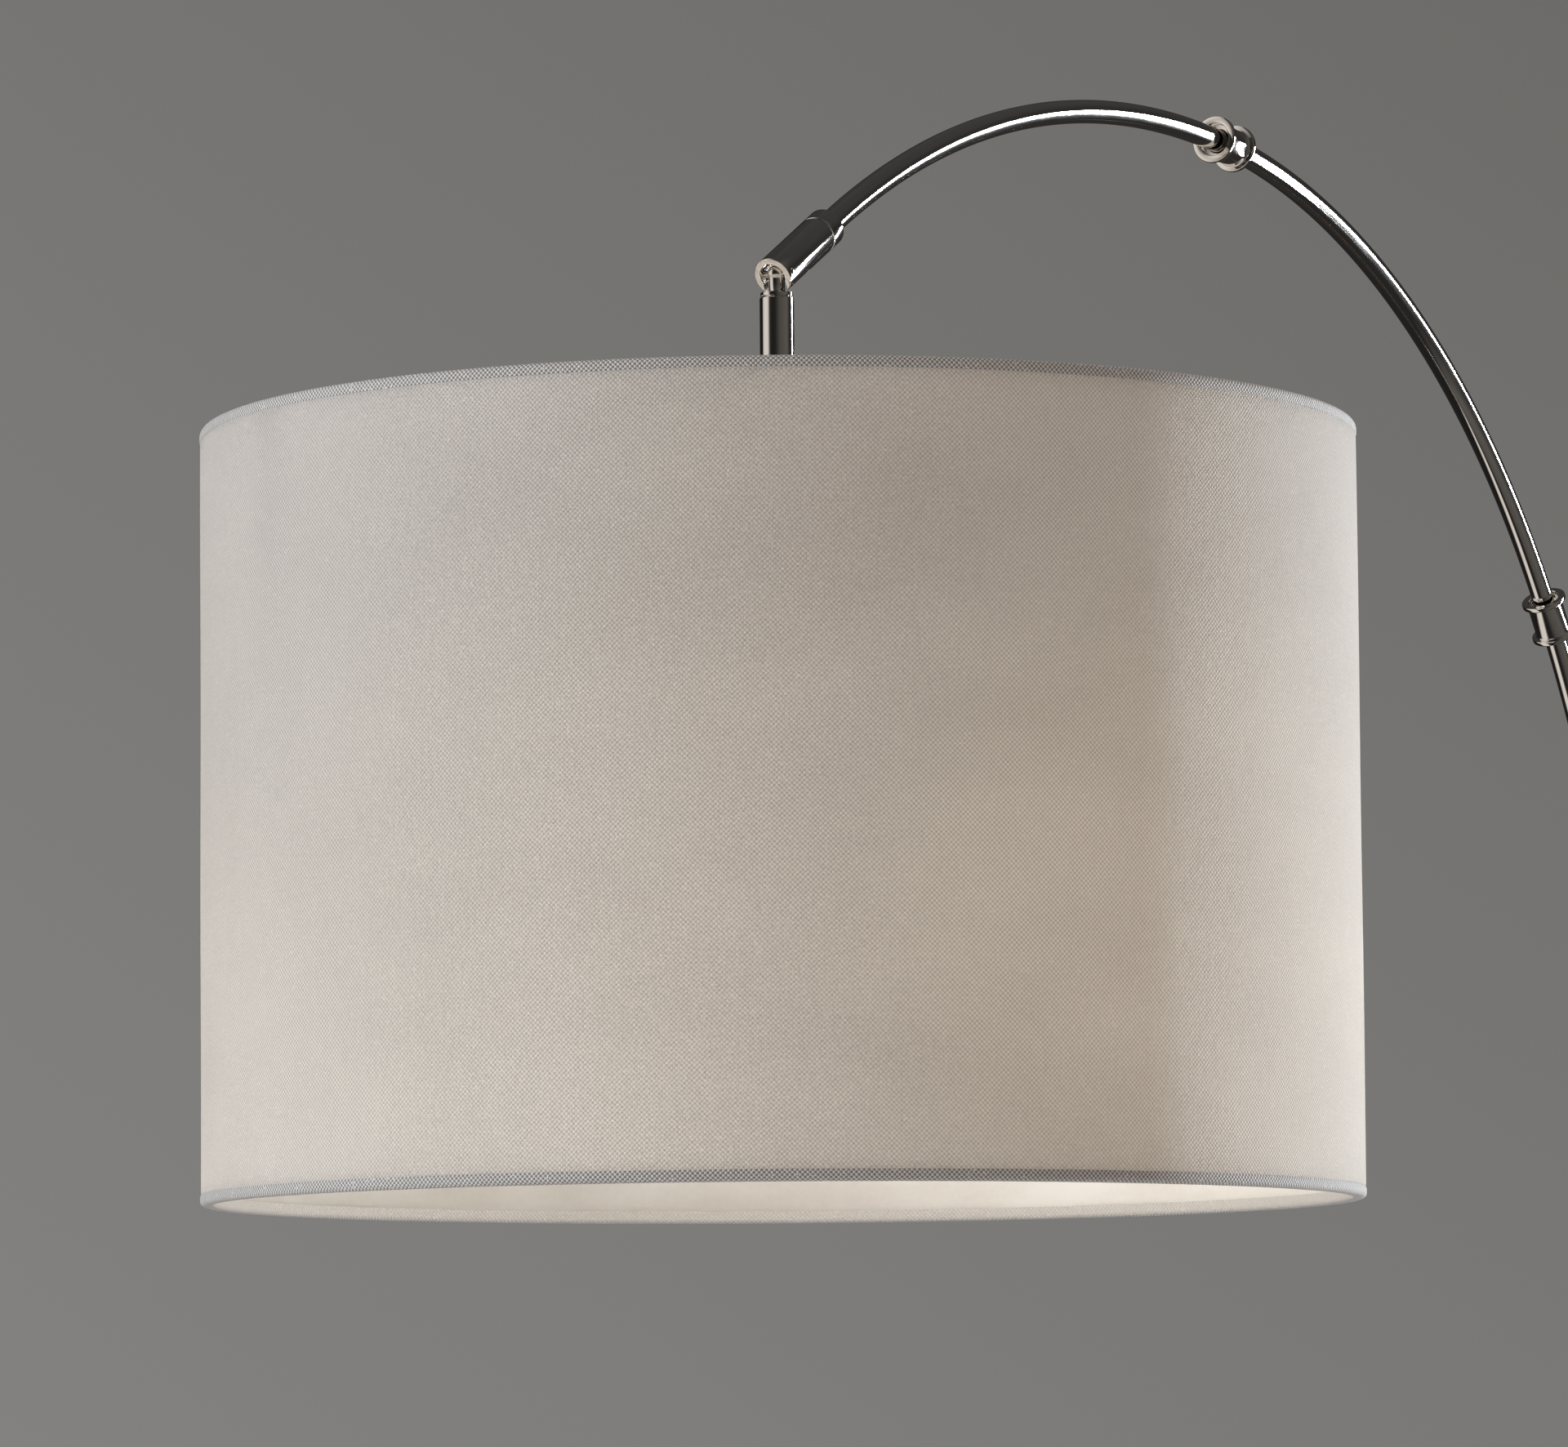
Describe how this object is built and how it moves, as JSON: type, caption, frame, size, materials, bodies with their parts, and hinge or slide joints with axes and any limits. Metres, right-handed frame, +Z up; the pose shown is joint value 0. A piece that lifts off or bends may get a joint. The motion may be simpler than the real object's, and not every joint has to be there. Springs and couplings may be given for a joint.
{
  "type": "arc floor lamp",
  "caption": "Arc floor lamp: heavy round base, screwed tube pole that bends over in an arc, and a drum shade hanging from a tilting knuckle.",
  "frame": {"origin": "centre of the base's underside, on the floor", "axes": "+Z up; +X from the base's centre back to the pole, so the arm reaches forwards along -X; +Y across the arm's plane"},
  "size_m": [1.0892, 0.4572, 1.8622],
  "materials": {
    "steel": "satin brushed nickel finish on steel, drawn along the tubes",
    "zinc": "bright zinc plate on threaded parts",
    "wire": "white enamelled wire",
    "iron": "rough black casting",
    "foot": "matt black foam sheet",
    "black_plastic": "matt black moulding and lead sheath",
    "linen": "off-white plain weave with a faint sheen, translucent",
    "styrene": "smooth white translucent sheet",
    "hem": "grey-blue plain weave tape over the rims",
    "brass": "plated, satin",
    "bakelite": "black moulding",
    "card": "brown insulating card",
    "bulb_metal": "bright rolled aluminium",
    "bulb_glass": "frosted white"
  },
  "bodies": {
    "stand": {"arc_coupler_lower": "steel", "arc_coupler_upper": "steel", "arc_nipple_lower": "zinc", "arc_nipple_upper": "zinc", "arc_tube_lower": "steel", "arc_tube_middle": "steel", "arc_tube_upper": "steel", "base_cover": "steel", "base_nut": "zinc", "base_pad": "foot", "base_stud": "zinc", "base_washer": "zinc", "base_weight": "iron", "cord_gland": "black_plastic", "knuckle_ferrule": "steel", "knuckle_fork": "steel", "knuckle_pin": "zinc", "lead_in_pole": "black_plastic", "pole_coupler_lower": "steel", "pole_coupler_middle": "steel", "pole_coupler_top": "steel", "pole_nipple_lower": "zinc", "pole_nipple_middle": "zinc", "pole_nipple_top": "zinc", "pole_socket": "steel", "pole_tube_lower": "steel", "pole_tube_middle": "steel", "pole_tube_upper": "steel"},
    "shade": {"knuckle_tongue": "steel", "stem_tube": "steel", "stem_nipple": "zinc", "shade_spider": "wire", "shade_ring_bottom": "wire", "shade_fabric": "linen", "shade_liner": "styrene", "shade_hem_top": "hem", "shade_hem_bottom": "hem", "socket_cap": "brass", "socket_locknut": "zinc", "socket_shell": "brass", "socket_insert": "bakelite", "socket_liner": "card", "socket_screw_shell": "brass", "socket_contact": "brass", "socket_ring": "bakelite", "bulb_cap": "bulb_metal", "bulb_contact": "bulb_metal", "bulb_glass": "bulb_glass", "lead_in_stem": "black_plastic"},
    "switch": {"switch_shaft": "brass", "switch_knob": "bakelite"}
  },
  "joints": [
    {"name": "shade_tilt", "type": "hinge", "parent": "stand", "child": "shade", "pos_m": [-0.7042, 0, 1.749], "axis": [0, 1, 0], "range_deg": [-30, 45]},
    {"name": "switch_turn", "type": "hinge", "parent": "shade", "child": "switch", "pos_m": [-0.7042, -0.03, 1.6128], "axis": [0, -1, 0], "continuous": true}
  ]
}
